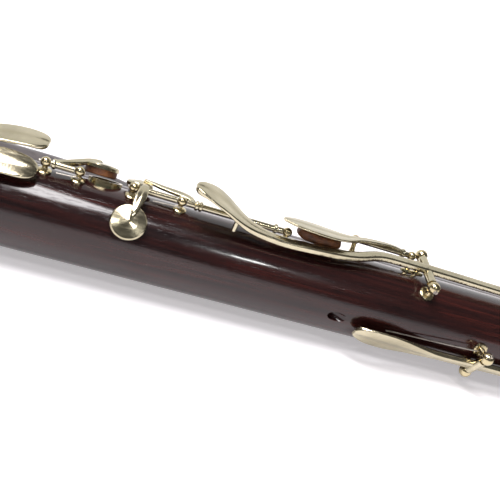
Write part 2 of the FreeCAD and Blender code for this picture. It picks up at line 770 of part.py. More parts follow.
plain_lever("boot_low_key", "boot_joint", boot_tube, 84.0, 300.0, 230.0, 150.0, way=-1)
plain_lever("boot_front_key", "boot_joint", boot_tube, 20.0, 120.0, 190.0, 250.0)
plain_lever("boot_thumb_key", "boot_joint", boot_tube, 40.0, 330.0, 378.0, 412.0)
plain_lever("wing_upper_key", "wing_joint", wing_tube, 95.0, 395.0, 434.0, 462.0)
plain_lever("wing_side_key", "wing_joint", wing_tube, 160.0, 330.0, 372.0, 402.0)


# ---------------------------------------------------------------- the oval boot
def oval(start, end, grow):
    """A prism of the boot's oval outline, grown outwards, from one station to another."""
    long_side = Vector(start, 0, axis_height)
    wing_side = Vector(start, wing_across, wing_height)
    apart = (wing_side - long_side).normalize()
    spread = Vector(1, 0, 0).cross(apart)
    r_long = size("boot_long_radius") + grow
    r_wing = size("boot_wing_radius") + grow
    lean = math.acos((r_long - r_wing) / bore_spacing)
    upper = apart * math.cos(lean) + spread * math.sin(lean)
    lower = apart * math.cos(lean) - spread * math.sin(lean)
    long_top = long_side + upper * r_long
    long_bottom = long_side + lower * r_long
    wing_top = wing_side + upper * r_wing
    wing_bottom = wing_side + lower * r_wing
    edges = [
        Part.Arc(long_top, long_side - apart * r_long, long_bottom).toShape(),
        Part.makeLine(long_bottom, wing_bottom),
        Part.Arc(wing_bottom, wing_side + apart * r_wing, wing_top).toShape(),
        Part.makeLine(wing_top, long_top),
    ]
    return Part.Face(Part.Wire(edges)).extrude(Vector(end - start, 0, 0))


def along_long(start, end, radius):
    return cylinder(Vector(start, 0, axis_height), Vector(end, 0, axis_height), radius)


def along_wing(start, end, radius):
    return cylinder(Vector(start, wing_across, wing_height), Vector(end, wing_across, wing_height), radius)


seat_gap = size("seat_gap")
bow_bore = size("boot_bore_small")
bow_outer = bow_bore + size("bow_tube_wall")
bow_plate_at = size("cap_end_wall") + 0.5 + bore_spacing / 2.0 + bow_outer
cork_at = bow_plate_at + size("bow_flange")
wood_at = cork_at + size("cork_plate")
long_socket = size("long_tenon_radius") + size("lap_thickness") + seat_gap
wing_socket = size("wing_tenon_radius") + size("lap_thickness") + seat_gap

boot_wood = oval(wood_at, boot, 0.0)
boot_wood = boot_wood.cut(along_long(wood_at - 1, boot + 1, size("boot_bore_large")))
boot_wood = boot_wood.cut(along_long(boot - size("long_tenon_length") - 1.0, boot + 1, long_socket))
boot_wood = boot_wood.cut(along_wing(wood_at - 1, boot + 1, bow_bore))
boot_wood = boot_wood.cut(along_wing(boot - size("wing_tenon_length") - 1.0, boot + 1, wing_socket))
posts["boot_joint"] = [post.cut(oval(wood_at, boot, 0.0)) for post in posts["boot_joint"]]
boot_solid = doc.addObject("Part::Feature", "boot_wood")
boot_solid.Shape = boot_wood
bored("boot_joint", boot_solid, holes["boot_joint"])

cap = oval(0.0, size("cap_length"), metal)
cap = cap.cut(oval(size("cap_end_wall"), size("cap_length") + 1.0, seat_gap))
carve("boot_cap", cap)
top_ring = oval(boot - size("ring_width"), boot, metal)
carve("boot_top_ring", top_ring.cut(oval(boot - size("ring_width") - 1.0, boot + 1.0, seat_gap)))

long_port = Vector(bow_plate_at, 0, axis_height)
wing_port = Vector(bow_plate_at, wing_across, wing_height)
bow_axis = (wing_port - long_port).cross(Vector(1, 0, 0)).normalize()
run_in = Vector(1, 0, 0)


def half_bow(radius):
    """A round pipe bent through half a turn from the long bore to the wing bore."""
    disc = Part.Face(Part.Wire([Part.makeCircle(radius, long_port, run_in)]))
    return disc.revolve((long_port + wing_port) / 2.0, bow_axis, 180)


bow_flange = oval(bow_plate_at, cork_at, -1.0)
bow_flange = bow_flange.cut(along_long(bow_plate_at - 1.0, cork_at + 1.0, bow_bore))
bow_flange = bow_flange.cut(along_wing(bow_plate_at - 1.0, cork_at + 1.0, bow_bore))
bow_tube = half_bow(bow_outer).cut(half_bow(bow_bore)).fuse(bow_flange)
carve("boot_bow_tube", bow_tube)
cork = oval(cork_at, wood_at, -1.0)
cork = cork.cut(along_long(cork_at - 1.0, wood_at + 1.0, bow_bore))
carve("boot_cork_plate", cork.cut(along_wing(cork_at - 1.0, wood_at + 1.0, bow_bore)))

# ---------------------------------------------------------------- the long joint and the bell
TENON = "Sizes.long_tenon_radius"
BELL_TENON = "Sizes.bell_tenon_radius"
long_body = turned("long_joint", [
    (BOOT + " - Sizes.long_tenon_length", TENON),
    (BOOT, TENON),
    (BOOT, "Sizes.long_radius"),
    (LONG_END, "Sizes.long_radius"),
    (LONG_END, BELL_TENON),
    (LONG_END + " + Sizes.bell_tenon_length", BELL_TENON),
    (LONG_END + " + Sizes.bell_tenon_length", "Sizes.long_bore_head"),
    (BOOT + " - Sizes.long_tenon_length", "Sizes.long_bore_foot"),
])
bored("long_joint", long_body, holes["long_joint"])


def lap(label, start, end, radius, across=0.0, height=None):
    """The cork or thread that is wrapped round a tenon."""
    inner = radius + " + Sizes.seat_gap"
    outer = radius + " + Sizes.lap_thickness"
    profile = [(start, inner), (start, outer), (end, outer), (end, inner)]
    keep(turned(label, profile, across, height), label)


lap("long_tenon_lap", BOOT + " - Sizes.long_tenon_length + 2.0", BOOT + " - 6.0", TENON)
lap("bell_tenon_lap", LONG_END + " + 6.0", LONG_END + " + Sizes.bell_tenon_length - 2.0", BELL_TENON)

BELL_SOCKET = BELL_TENON + " + Sizes.lap_thickness + Sizes.seat_gap"
bell_body = turned("bell_turned", [
    (LONG_END, "Sizes.bell_waist_radius + 1.5"),
    (LONG_END + " + 36.0", "Sizes.bell_waist_radius + 1.5"),
    (LONG_END + " + 44.0", "Sizes.bell_waist_radius"),
    (LONG_END + " + 90.0", "Sizes.bell_waist_radius"),
    (BELL_END + " - 60.0", "Sizes.bell_rim_radius - 2.6"),
    (BELL_END, "Sizes.bell_rim_radius - Sizes.ring_wall"),
    (BELL_END, "Sizes.bell_bore_mouth"),
    (LONG_END + " + Sizes.bell_tenon_length + 1.0", "Sizes.long_bore_head"),
    (LONG_END + " + Sizes.bell_tenon_length + 1.0", BELL_SOCKET),
    (LONG_END, BELL_SOCKET),
])
keep(bell_body, "bell")
keep(turned("bell_socket_ring", [
    (LONG_END, "Sizes.bell_waist_radius + 1.5 + Sizes.seat_gap"),
    (LONG_END, "Sizes.bell_waist_radius + 2.6"),
    (LONG_END + " + 3.0", "Sizes.bell_waist_radius + 3.0"),
    (LONG_END + " + Sizes.ring_width - 3.0", "Sizes.bell_waist_radius + 3.0"),
    (LONG_END + " + Sizes.ring_width", "Sizes.bell_waist_radius + 2.6"),
    (LONG_END + " + Sizes.ring_width", "Sizes.bell_waist_radius + 1.5 + Sizes.seat_gap"),
]), "bell_socket_ring")
keep(turned("bell_rim_ring", [
    (BELL_END + " + Sizes.seat_gap", "Sizes.bell_bore_mouth"),
    (BELL_END + " + Sizes.seat_gap", "Sizes.bell_rim_radius"),
    (BELL_END + " + Sizes.rim_ring_width - 2.0", "Sizes.bell_rim_radius"),
    (BELL_END + " + Sizes.rim_ring_width", "Sizes.bell_rim_radius - 2.0"),
    (BELL_END + " + Sizes.rim_ring_width", "Sizes.bell_bore_mouth + 1.0"),
    (BELL_END + " + Sizes.rim_ring_width - 1.0", "Sizes.bell_bore_mouth"),
]), "bell_rim_ring")

# ---------------------------------------------------------------- the wing joint
crook_cork_radius = size("crook_root_radius") + 1.2
crook_seat = wing_end - size("crook_cork_length") + 4.0
wing_start = Vector(0, wing_across, wing_height)
tenon_start = boot - size("wing_tenon_length")
head = 20.0
wing_turned = turned_round(wing_start + Vector(tenon_start, 0, 0), wing_start + Vector(wing_end, 0, 0), [
    (0.0, size("wing_tenon_radius")),
    (boot - tenon_start, size("wing_tenon_radius")),
    (boot - tenon_start, wing_r),
    (wing_end - tenon_start - head, wing_r),
    (wing_end - tenon_start - head + 4.0, wing_r - 2.2),
    (wing_end - tenon_start, wing_r - 2.2),
])
flare_out = Vector(0, 1, 0.12).normalize()


def flare_at(station, offset, width, thickness):
    return (Vector(boot + station, wing_across, wing_height) + flare_out * offset, width, thickness)


flare = bar([
    flare_at(34.0, 4.0, 12.0, 18.0),
    flare_at(52.0, 9.0, 22.0, 24.0),
    flare_at(90.0, 11.0, 26.0, 26.0),
    flare_at(140.0, 10.0, 25.0, 26.0),
    flare_at(168.0, 7.0, 18.0, 22.0),
    flare_at(186.0, 4.0, 10.0, 16.0),
], flare_out)
wing_shape = wing_turned.fuse(flare)
bore_run = wing_start + Vector(tenon_start - 1.0, 0, 0)
bore_top = wing_start + Vector(crook_seat, 0, 0)
wing_bore = Part.makeCone(
    size("wing_bore_foot"), size("wing_bore_head"), (bore_top - bore_run).Length, bore_run, Vector(1, 0, 0))
wing_shape = wing_shape.cut(wing_bore)
wing_shape = wing_shape.cut(along_wing(crook_seat - 0.5, wing_end + 1.0, crook_cork_radius + seat_gap))
for station in (70.0, 104.0, 138.0):
    inner = Vector(boot + station + 6.0, wing_across, wing_height)
    hole_run = (flare_out * 30.0 + Vector(-8.0, 0, 0)).normalize()
    wing_shape = wing_shape.cut(Part.makeCylinder(2.8, 40.0, inner, hole_run))
wing_solid = doc.addObject("Part::Feature", "wing_wood")
wing_solid.Shape = wing_shape
bored("wing_joint", wing_solid, holes["wing_joint"])
lap("wing_tenon_lap", BOOT + " - Sizes.wing_tenon_length + 2.0", BOOT + " - 5.0",
    "Sizes.wing_tenon_radius", wing_across, wing_height)
wing_head = wing_r - 2.2
ring_start = wing_start + Vector(wing_end - size("ring_width"), 0, 0)
ring_end = wing_start + Vector(wing_end, 0, 0)
wing_ring = turned_round(ring_start, ring_end, [
    (0.0, wing_head + 1.0),
    (1.5, wing_head + size("ring_wall")),
    (size("ring_width") - 1.5, wing_head + size("ring_wall")),
    (size("ring_width"), wing_head + 1.0),
])
carve("wing_top_ring", wing_ring.cut(along_wing(wing_end - 30.0, wing_end + 1.0, wing_head + seat_gap)))

# ---------------------------------------------------------------- the crook and the reed
crook_points = []
crook_x = crook_seat
crook_y = wing_across
heading = 0.0
crook_steps = [(size("crook_reach"), 0.0, 8)]
crook_steps.append((size("crook_bend"), 96.0, 10))
crook_steps.append((size("crook_arm"), 0.0, 12))
crook_steps.append((size("crook_bend"), 30.0, 4))
crook_steps.append((size("crook_tip_run"), 0.0, 6))
crook_points.append((Vector(crook_x, crook_y, wing_height), heading))
for length, turn_by, count in crook_steps:
    step = length / count if turn_by == 0.0 else 2.0 * length * math.sin(math.radians(turn_by) / count / 2.0)
    for k in range(count):
        heading += math.radians(turn_by) / count / 2.0
        crook_x += step * math.cos(heading)
        crook_y += step * math.sin(heading)
        heading += math.radians(turn_by) / count / 2.0
        crook_points.append((Vector(crook_x, crook_y, wing_height), heading))


def crook_pipe(extra, trim=0.0):
    rings = []
    last = len(crook_points) - 1
    taper = size("crook_tip_radius") - size("crook_root_radius")
    for k, (centre, toward) in enumerate(crook_points):
        radius = size("crook_root_radius") + taper * k / last + extra
        run = Vector(math.cos(toward), math.sin(toward), 0)
        centre = centre - run * trim if k == 0 else centre
        centre = centre + run * trim if k == last else centre
        rings.append(Part.Wire([Part.makeCircle(radius, centre, run)]))
    return Part.makeLoft(rings, True, False)


carve("crook", crook_pipe(0.0).cut(crook_pipe(-size("crook_wall"), 0.5)))
cork_length = size("crook_cork_length")
crook_cork = along_wing(crook_seat + 1.0, crook_seat + cork_length, crook_cork_radius)
carve("crook_cork", crook_cork.cut(crook_pipe(0.03, 0.5)))

tip_point, tip_heading = crook_points[-1]
tip_run = Vector(math.cos(tip_heading), math.sin(tip_heading), 0)
tip_side = Vector(-math.sin(tip_heading), math.cos(tip_heading), 0)
reed_start = tip_point - tip_run * size("reed_on_crook")
reed_length = size("reed_length")
reed_width = size("reed_width")
throat = size("crook_tip_radius") + 0.9


def reed_form(shrink, longer):
    """The reed's outside, or the same form made smaller all round and longer at both ends."""
    rings = []
    for share, width, thickness in (
        (0.0, throat * 2.0, throat * 2.0),
        (0.3, throat * 2.0, throat * 2.0),
        (0.48, throat * 2.0 + 1.2, throat * 1.75),
        (0.62, reed_width * 0.66, throat * 1.35),
        (0.82, reed_width * 0.86, throat * 0.85),
        (1.0, reed_width, throat * 0.4),
    ):
        centre = reed_start + tip_run * (share * reed_length + (2.0 * share - 1.0) * longer)
        lens = 2.0 if share < 0.5 else 1.7
        rings.append(section(centre, tip_run, tip_side, width - shrink * 2.0, thickness - shrink * 2.0, lens))
    return Part.makeLoft(rings, True, False)


blades = reed_form(0.0, 0.0).cut(reed_form(0.42, 0.3))
tail_radius = size("crook_tip_radius") + 0.35
tail_hole = Part.makeCylinder(tail_radius, reed_length * 0.4, reed_start - tip_run, tip_run)
blades = blades.cut(tail_hole)
slit = Part.makeBox(reed_length + 4.0, reed_width + 4.0, 0.06, Vector(-2.0, -reed_width / 2.0 - 2.0, -0.03))
slit.Placement = FreeCAD.Placement(
    reed_start, FreeCAD.Rotation(Vector(0, 0, 1), math.degrees(tip_heading))).multiply(slit.Placement)
carve("reed_blades", blades.cut(slit))
binding_start = reed_start + tip_run * 0.5
binding_end = reed_start + tip_run * (reed_length * 0.22)
binding = turned_round(binding_start, binding_end, [
    (0.0, throat + 0.5),
    (reed_length * 0.08, throat + 1.5),
    (reed_length * 0.14, throat + 1.5),
    (reed_length * 0.215, throat + 0.5),
])
reed_clear = Part.makeCylinder(throat + 0.04, reed_length * 0.3, reed_start - tip_run, tip_run)
carve("reed_binding", binding.cut(reed_clear).cut(reed_form(-0.05, 0.2)))
wires = []
for share in (0.26, 0.285):
    wires.append(Part.makeTorus(throat + 0.45, 0.35, reed_start + tip_run * (share * reed_length), tip_run))
carve("reed_wires", wires[0].fuse(wires[1]))

# ---------------------------------------------------------------- the sling ring on the boot
sling_frame = boot_tube.at(72.0)
sling_at = 394.0
boot_r = size("boot_long_radius")
sling = cylinder(Vector(sling_at, 0, boot_r - 1.0), Vector(sling_at, 0, boot_r + 3.4), 2.0)
sling = sling.fuse(cylinder(Vector(sling_at, 0, boot_r - 1.0), Vector(sling_at, 0, boot_r + 1.0), 5.0))
sling = sling.fuse(Part.makeTorus(6.5, 1.3, Vector(sling_at, 0, boot_r + 9.6), Vector(0, 1, 0)))
sling = sling.cut(tube_solid(boot_tube))
carve("sling_ring", sling, sling_frame)

# ---------------------------------------------------------------- fixed groups
carve("long_joint_posts", Part.makeCompound(posts["long_joint"]))
carve("long_joint_rods", Part.makeCompound(rods["long_joint"]))
carve("boot_posts", Part.makeCompound(posts["boot_joint"]))
carve("boot_rods", Part.makeCompound(rods["boot_joint"]))
carve("wing_posts", Part.makeCompound(posts["wing_joint"]))
carve("wing_rods", Part.makeCompound(rods["wing_joint"]))
carve("needle_springs", Part.makeCompound(needles))

doc.recompute()

# ---------------------------------------------------------------- origin, checks and export
box = FreeCAD.BoundBox()
for piece in pieces:
    box.add(piece.Shape.optimalBoundingBox(True, False))
# The origin is on the table, under the middle of the instrument's box.
origin = Vector((box.XMin + box.XMax) / 2.0, (box.YMin + box.YMax) / 2.0, 0.0)
faults = []
for thing in doc.Objects:
    if "Invalid" in thing.State or "Error" in thing.State:
        faults.append("%s is %s" % (thing.Label, thing.State))
for piece in pieces:
    if piece.Shape.isNull() or not piece.Shape.isValid() or piece.Shape.Volume <= 0:
        faults.append("%s has a bad shape" % piece.Label)
if faults:
    raise SystemExit("\n".join(faults))

os.makedirs("parts", exist_ok=True)
for old in os.listdir("parts"):
    if old.endswith(".step"):
        os.remove(os.path.join("parts", old))
for piece in pieces:
    shape = piece.Shape.copy()
    shape.translate(-origin)
    shape.exportStep("parts/%s.step" % piece.Label)
print("box", [round(v, 2) for v in (box.XMin, box.XMax, box.YMin, box.YMax, box.ZMin, box.ZMax)])
print("origin", [round(v, 4) for v in (origin.x, origin.y, origin.z)])
for name, where, run, low, high in hinges:
    spot = where - origin
    print("hinge", name, [round(v, 4) for v in spot], [round(v, 6) for v in run], low, high)
print("sub-parts", len(pieces))
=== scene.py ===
# %% [markdown]
# # A rosewood bassoon
# The instrument lies on its side on a pale table. Its body is turned rosewood, and its keywork is
# nickel silver on small turned ball posts. The fixed model gives every part its place, so this lesson
# is about giving each part the surface and the fine shape that the real one has.

# %% Load the frame
import json
import math

import bpy
import numpy as np
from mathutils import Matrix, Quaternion, Vector


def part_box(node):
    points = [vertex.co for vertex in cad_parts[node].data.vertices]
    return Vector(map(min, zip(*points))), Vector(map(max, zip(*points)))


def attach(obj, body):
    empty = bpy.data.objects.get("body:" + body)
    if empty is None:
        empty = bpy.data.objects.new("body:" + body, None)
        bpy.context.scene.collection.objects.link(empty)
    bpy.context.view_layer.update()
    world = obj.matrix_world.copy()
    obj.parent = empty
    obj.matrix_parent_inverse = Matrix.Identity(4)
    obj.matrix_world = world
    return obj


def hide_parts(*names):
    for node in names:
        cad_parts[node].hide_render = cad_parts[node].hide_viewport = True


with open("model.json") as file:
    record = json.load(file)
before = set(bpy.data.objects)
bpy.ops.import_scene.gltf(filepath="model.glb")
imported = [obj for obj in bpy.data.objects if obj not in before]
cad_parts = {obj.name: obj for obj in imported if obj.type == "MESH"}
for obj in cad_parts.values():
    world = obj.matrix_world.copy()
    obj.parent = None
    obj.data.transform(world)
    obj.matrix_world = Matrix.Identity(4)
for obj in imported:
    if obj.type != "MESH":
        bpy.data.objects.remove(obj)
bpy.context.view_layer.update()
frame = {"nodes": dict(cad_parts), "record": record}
nodes = frame["nodes"]
body_of = {}
for body, members in frame["record"]["behaviour"]["bodies"].items():
    for member in members:
        body_of[member] = body


# %% Start with nothing selected
def select_only(*objects):
    bpy.ops.object.select_all(action="DESELECT")
    for thing in objects:
        thing.select_set(True)
    bpy.context.view_layer.objects.active = objects[0] if objects else None


select_only()
print("selected", len(bpy.context.selected_objects))

# %% [markdown]
# ## The camera
# The view looks down a little and along the joint, and it is rolled, so that the tube falls away to the
# right. The camera is aimed at a point on the bass joint and then backed off along its own line of
# sight. A long tube has one easy measure to hang this on: the middle of its box is its axis.

# %% Find the bass joint's axis
joint_low, joint_high = (Vector(corner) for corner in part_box("long_joint"))
axis_y = (joint_low.y + joint_high.y) / 2
axis_z = (joint_low.z + joint_high.z) / 2
joint_radius = (joint_high.z - joint_low.z) / 2
print("axis", round(axis_y, 4), round(axis_z, 4), "radius", round(joint_radius, 4))

# %% Place the camera
aim = Vector((0.0115, axis_y, axis_z + 0.0192))
azimuth = math.radians(12.876)
elevation = math.radians(18.0)
sight = Vector((
    math.sin(azimuth) * math.cos(elevation),
    math.cos(azimuth) * math.cos(elevation),
    -math.sin(elevation),
))
lens = bpy.data.cameras.new("view")
camera = bpy.data.objects.new("view", lens)
bpy.context.scene.collection.objects.link(camera)
camera.location = aim - sight * 0.2705
camera.rotation_mode = "QUATERNION"
roll = Quaternion((0, 0, 1), math.radians(20.2))
camera.rotation_quaternion = sight.to_track_quat("-Z", "Y") @ roll
lens.lens = 43.2
lens.shift_y = -0.046
lens.clip_start = 0.01
bpy.context.scene.camera = camera
print("camera at", [round(v, 3) for v in camera.location])

# %% [markdown]
# ## Table and light
# A glossy dark tube shows mostly what is around it. A pale table gives the soft grey band along its
# lower side, and a wide soft panel above gives the long band of light along its upper side. Small
# bright panels leave the short glints. The room itself is dim, so that the wood stays dark and the
# metal has something dark to reflect, and a white backdrop stands behind the table.

# %% Lay the table and stand the backdrop
def staged_plane(name, size, location, rotation=(0, 0, 0)):
    bpy.ops.mesh.primitive_plane_add(size=size, location=location, rotation=rotation)
    plane = bpy.context.object
    plane.name = name
    return plane


upright = (math.radians(90), 0, 0)
table = staged_plane("table", 8.0, (0, 0, 0))
backdrop = staged_plane("backdrop", 16.0, (0, 3.0, 0), upright)
print("table", table.dimensions[:2], "backdrop", backdrop.dimensions[:2])

# %% Light the room
world = bpy.data.worlds.new("room")
bpy.context.scene.world = world
world.use_nodes = True
world.node_tree.nodes["Background"].inputs["Color"].default_value = (1.0, 0.985, 0.99, 1)
world.node_tree.nodes["Background"].inputs["Strength"].default_value = 0.12
bpy.context.scene.view_settings.view_transform = "Standard"


def panel(name, place, toward, width, height, power, tint=(1, 1, 1)):
    light = bpy.data.lights.new(name, "AREA")
    light.shape = "RECTANGLE"
    light.size = width
    light.size_y = height
    light.energy = power
    light.color = tint
    lamp = bpy.data.objects.new(name, light)
    bpy.context.scene.collection.objects.link(lamp)
    lamp.location = place
    lamp.rotation_euler = (Vector(toward) - Vector(place)).to_track_quat("-Z", "Y").to_euler()
    return lamp


here = Vector((0.0, axis_y, axis_z))
panel("window", here + Vector((-0.35, -0.25, 1.1)), here, 0.9, 0.35, 20.0, (1, 0.97, 0.98))
panel("lamp_left", here + Vector((-0.55, -0.75, 0.75)), here, 0.10, 0.05, 1.6)
panel("lamp_right", here + Vector((0.25, -0.8, 0.7)), here, 0.08, 0.04, 1.0)
print("lights", [light.name for light in bpy.data.lights])

# %% [markdown]
# ## Building materials
# Every finish below is made of nodes that read Object coordinates, which are metres in the
# instrument's own frame. Noise that is squeezed across an axis and stretched along another gives
# grain. A few short helpers keep the node work readable: one adds noise, one turns a value into
# colours, one mixes two colours, and one adds bumps.

# %% Helpers for materials
def finish_called(name, metallic=0.0):
    material = bpy.data.materials.new(name)
    material.use_nodes = True
    shader = material.node_tree.nodes["Principled BSDF"]
    shader.inputs["Metallic"].default_value = metallic
    return material


def add(material, kind):
    return material.node_tree.nodes.new(kind)


def link(material, start, end):
    material.node_tree.links.new(start, end)


def shader_of(material):
    return material.node_tree.nodes["Principled BSDF"]


def placed_pattern(material, stretch, turn=(0, 0, 0)):
    coordinates = add(material, "ShaderNodeTexCoord")
    mapping = add(material, "ShaderNodeMapping")
    mapping.inputs["Scale"].default_value = stretch
    mapping.inputs["Rotation"].default_value = turn
    link(material, coordinates.outputs["Object"], mapping.inputs["Vector"])
    return mapping.outputs["Vector"]


def noise(material, stretch, detail=3.0, rough=0.55, twist=0.0, turn=(0, 0, 0)):
    texture = add(material, "ShaderNodeTexNoise")
    texture.inputs["Scale"].default_value = 1.0
    texture.inputs["Detail"].default_value = detail
    texture.inputs["Roughness"].default_value = rough
    texture.inputs["Distortion"].default_value = twist
    link(material, placed_pattern(material, stretch, turn), texture.inputs["Vector"])
    return texture.outputs[0]


def specks(material, stretch):
    texture = add(material, "ShaderNodeTexVoronoi")
    texture.inputs["Scale"].default_value = 1.0
    link(material, placed_pattern(material, stretch), texture.inputs["Vector"])
    return texture


def colours(material, value, stops):
    ramp = add(material, "ShaderNodeValToRGB")
    elements = ramp.color_ramp.elements
    while len(elements) < len(stops):
        elements.new(0.5)
    for element, (place, colour) in zip(elements, stops):
        element.position = place
        element.color = (*colour, 1.0)
    link(material, value, ramp.inputs["Fac"])
    return ramp.outputs["Color"]


def between(material, value, low, high, start=0.0, end=1.0):
    spread = add(material, "ShaderNodeMapRange")
    spread.inputs["From Min"].default_value = low
    spread.inputs["From Max"].default_value = high
    spread.inputs["To Min"].default_value = start
    spread.inputs["To Max"].default_value = end
    link(material, value, spread.inputs["Value"])
    return spread.outputs["Result"]


def times(material, first, second):
    product = add(material, "ShaderNodeMath")
    product.operation = "MULTIPLY"
    link(material, first, product.inputs[0])
    link(material, second, product.inputs[1])
    return product.outputs[0]


def blended(material, share, first, second):
    mix = add(material, "ShaderNodeMix")
    mix.data_type = "RGBA"
    link(material, share, mix.inputs[0])
    link(material, first, mix.inputs[6])
    if isinstance(second, tuple):
        mix.inputs[7].default_value = (*second, 1.0)
    else:
        link(material, second, mix.inputs[7])
    return mix.outputs[2]


def bumps(material, value, strength, depth, under=None):
    bump = add(material, "ShaderNodeBump")
    bump.inputs["Strength"].default_value = strength
    bump.inputs["Distance"].default_value = depth
    link(material, value, bump.inputs["Height"])
    if under is not None:
        link(material, under, bump.inputs["Normal"])
    return bump.outputs["Normal"]


print("material helpers ready")

# %% [markdown]
# ## Rosewood
# Rosewood is nearly black with dark red heartwood showing through in long streaks. On a turned joint
# the streaks run along the tube. Two noises are stretched along the length, one for the broad bands
# and one for the streaks, and a third, finer one gives the short dark pores. The surface has been
# polished for many years, so it is glossy, a little wavy, and marked by small nicks and pale dust.

# %% Make the rosewood
rosewood = finish_called("rosewood")
bands = noise(rosewood, (4.0, 75.0, 75.0), 2.0)
streaks = noise(rosewood, (16.0, 420.0, 420.0), 5.0, 0.62, 0.4)
streak_colour = colours(rosewood, streaks, [
    (0.28, (0.0085, 0.0032, 0.0034)),
    (0.48, (0.0210, 0.0056, 0.0050)),
    (0.62, (0.0350, 0.0080, 0.0064)),
    (0.80, (0.0600, 0.0125, 0.0088)),
])
band_share = between(rosewood, bands, 0.32, 0.56)
dark_colour = colours(rosewood, streaks, [
    (0.35, (0.0060, 0.0032, 0.0038)),
    (0.75, (0.0260, 0.0085, 0.0080)),
])
wood_colour = blended(rosewood, band_share, dark_colour, streak_colour)
pores = noise(rosewood, (170.0, 2300.0, 2300.0), 2.0, 0.5)
pore_share = between(rosewood, pores, 0.60, 0.68, 0.0, 0.75)
wood_colour = blended(rosewood, pore_share, wood_colour, (0.0040, 0.0022, 0.0024))
dust = specks(rosewood, (330.0, 330.0, 330.0))
dust_share = between(rosewood, dust.outputs["Distance"], 0.07, 0.03, 0.0, 0.5)
dust_place = between(rosewood, noise(rosewood, (38.0, 38.0, 38.0), 1.0), 0.60, 0.66)
wood_colour = blended(rosewood, times(rosewood, dust_share, dust_place), wood_colour, (0.30, 0.25, 0.21))
link(rosewood, wood_colour, shader_of(rosewood).inputs["Base Color"])
print("rosewood colours", len(rosewood.node_tree.nodes), "nodes")

# %% Polish the rosewood
smudges = noise(rosewood, (30.0, 90.0, 90.0), 4.0)
link(rosewood, between(rosewood, smudges, 0.3, 0.75, 0.11, 0.24), shader_of(rosewood).inputs["Roughness"])
wave = bumps(rosewood, noise(rosewood, (14.0, 130.0, 130.0), 1.0), 0.10, 0.0012)
scraped = bumps(rosewood, noise(rosewood, (60.0, 1500.0, 1500.0), 3.0), 0.10, 0.00012, wave)
pitted = bumps(rosewood, between(rosewood, pores, 0.68, 0.60), 0.14, 0.00015, scraped)
link(rosewood, pitted, shader_of(rosewood).inputs["Normal"])
shader_of(rosewood).inputs["Coat Weight"].default_value = 0.15
shader_of(rosewood).inputs["Coat Roughness"].default_value = 0.06
shader_of(rosewood).inputs["Specular IOR Level"].default_value = 0.4
print("rosewood polished")

# %% [markdown]
# ## Nickel silver
# The keys are cast and filed nickel silver. It is warmer than chrome, and old keywork has soft cloudy
# tarnish, fine wiping scratches, and a trace of green where the posts meet the wood. The green is
# placed by the distance from the joint's axis, because that is where moisture stays.

# %% Make the metals
def metal_called(name, bright, dull, rough_low, rough_high):
    material = finish_called(name, 1.0)
    cloud = noise(material, (70.0, 70.0, 70.0), 3.0, 0.5)
    fine = noise(material, (700.0, 700.0, 700.0), 3.0, 0.6)
    middling = tuple((a + b) / 2 for a, b in zip(bright, dull))
    tone = colours(material, cloud, [(0.30, middling), (0.60, bright), (0.85, bright)])
    grime = between(material, fine, 0.62, 0.80, 0.0, 0.30)
    tone = blended(material, grime, tone, tuple(0.45 * v for v in dull))
    link(material, tone, shader_of(material).inputs["Base Color"])
    smear = noise(material, (240.0, 900.0, 900.0), 3.0, 0.6)
    roughness = between(material, smear, 0.3, 0.75, rough_low, rough_high)
    link(material, roughness, shader_of(material).inputs["Roughness"])
    dents = bumps(material, noise(material, (190.0, 190.0, 190.0), 2.0), 0.10, 0.0004)
    wiped = bumps(material, noise(material, (500.0, 4200.0, 4200.0), 2.0), 0.06, 0.00006, dents)
    link(material, wiped, shader_of(material).inputs["Normal"])
    return material


nickel = metal_called("nickel_silver", (0.52, 0.47, 0.335), (0.29, 0.255, 0.16), 0.14, 0.28)
post_metal = metal_called("post_nickel_silver", (0.55, 0.47, 0.29), (0.31, 0.24, 0.12), 0.14, 0.28)
brass = metal_called("brass", (0.80, 0.58, 0.26), (0.42, 0.27, 0.10), 0.18, 0.36)
steel = metal_called("spring_steel", (0.42, 0.39, 0.35), (0.16, 0.13, 0.10), 0.24, 0.46)
print("metals", nickel.name, post_metal.name, brass.name, steel.name)

# %% Green at the feet of the posts
offset = add(post_metal, "ShaderNodeVectorMath")
offset.operation = "SUBTRACT"
offset.inputs[1].default_value = (0.0, axis_y, axis_z)
link(post_metal, placed_pattern(post_metal, (0.0, 1.0, 1.0)), offset.inputs[0])
distance = add(post_metal, "ShaderNodeVectorMath")
distance.operation = "LENGTH"
link(post_metal, offset.outputs["Vector"], distance.inputs[0])
green_edge = joint_radius + 0.0012
green_full = joint_radius + 0.0003
near_wood = between(post_metal, distance.outputs["Value"], green_edge, green_full, 0.0, 0.8)
patch = between(post_metal, noise(post_metal, (420.0, 420.0, 420.0), 3.0), 0.44, 0.62)
green_share = times(post_metal, near_wood, patch)
post_tone = shader_of(post_metal).inputs["Base Color"].links[0].from_socket
green = blended(post_metal, green_share, post_tone, (0.13, 0.20, 0.13))
link(post_metal, green, shader_of(post_metal).inputs["Base Color"])
print("verdigris within 1.2 mm of the wood")
